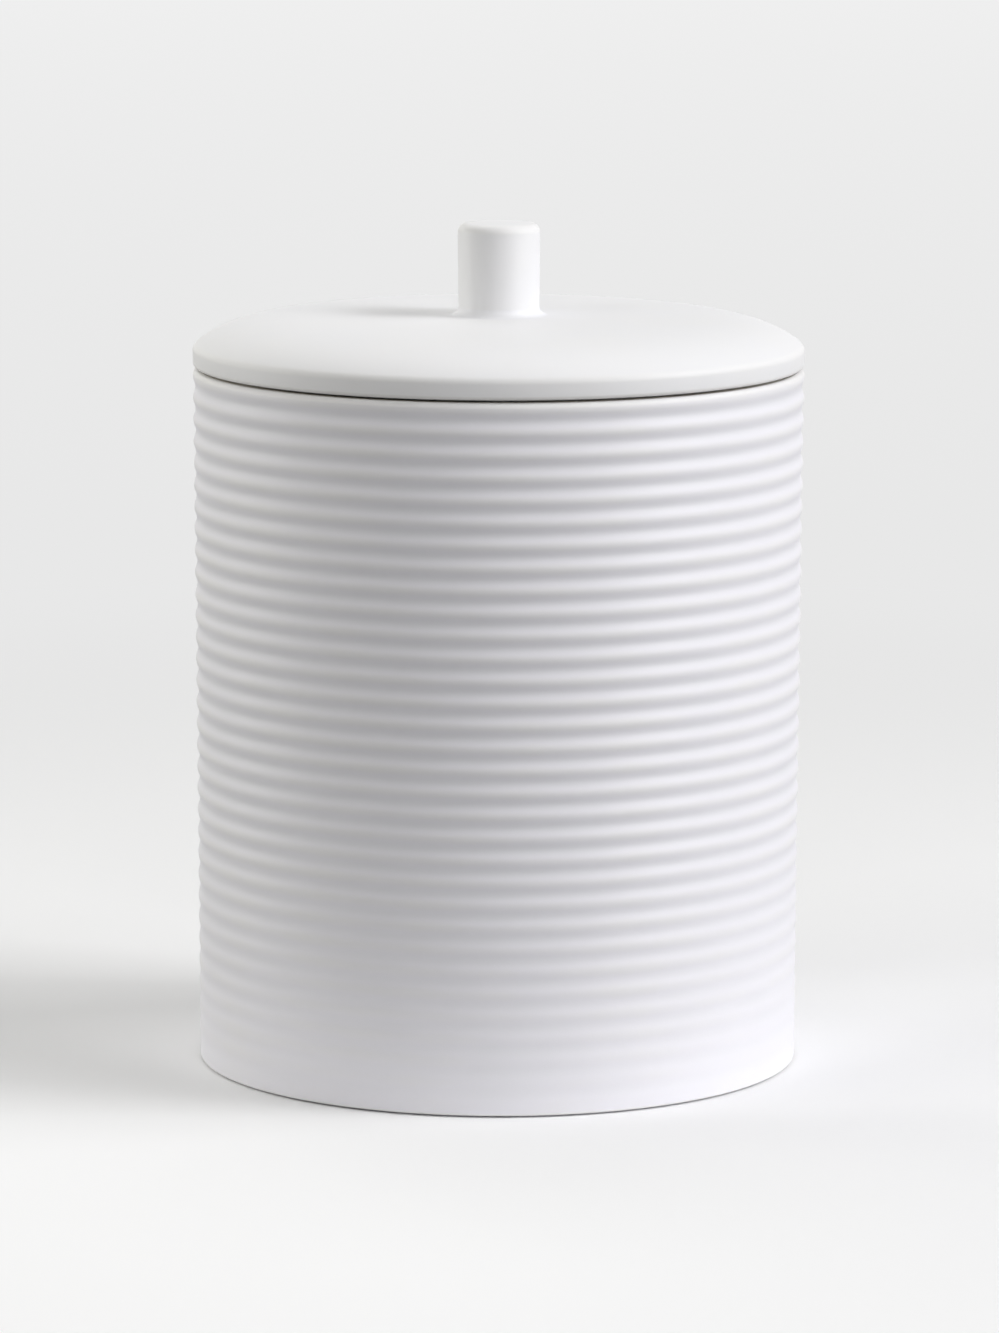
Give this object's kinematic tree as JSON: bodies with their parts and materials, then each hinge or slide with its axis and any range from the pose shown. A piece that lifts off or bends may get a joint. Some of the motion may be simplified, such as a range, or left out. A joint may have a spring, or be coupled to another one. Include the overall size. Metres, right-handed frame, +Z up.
{
  "type": "storage jar",
  "caption": "Round ribbed ceramic storage jar with a foot ring, and a lift-off domed lid that has a cylindrical knob and a plug with a silicone seal ring.",
  "frame": {"origin": "centre of the foot ring, on the surface the jar stands on", "axes": "+Z up along the jar's axis of revolution; X and Y lie in the base plane, and any direction of them is alike"},
  "size_m": [0.15, 0.15, 0.2075],
  "materials": {
    "body_glaze": "matte white glaze",
    "lid_glaze": "matte white glaze",
    "seal_silicone": "translucent white silicone"
  },
  "bodies": {
    "jar": {"jar_body": "body_glaze"},
    "seal": {"seal_ring": "seal_silicone"},
    "lid": {"lid": "lid_glaze"}
  },
  "joints": [
    {"name": "lid_lift", "type": "slide", "parent": "jar", "child": "seal", "axis": [0, 0, 1], "range_m": [0, 0.06]},
    {"name": "lid_turn", "type": "hinge", "parent": "seal", "child": "lid", "pos_m": [0, 0, 0.172], "axis": [0, 0, 1], "continuous": true}
  ]
}
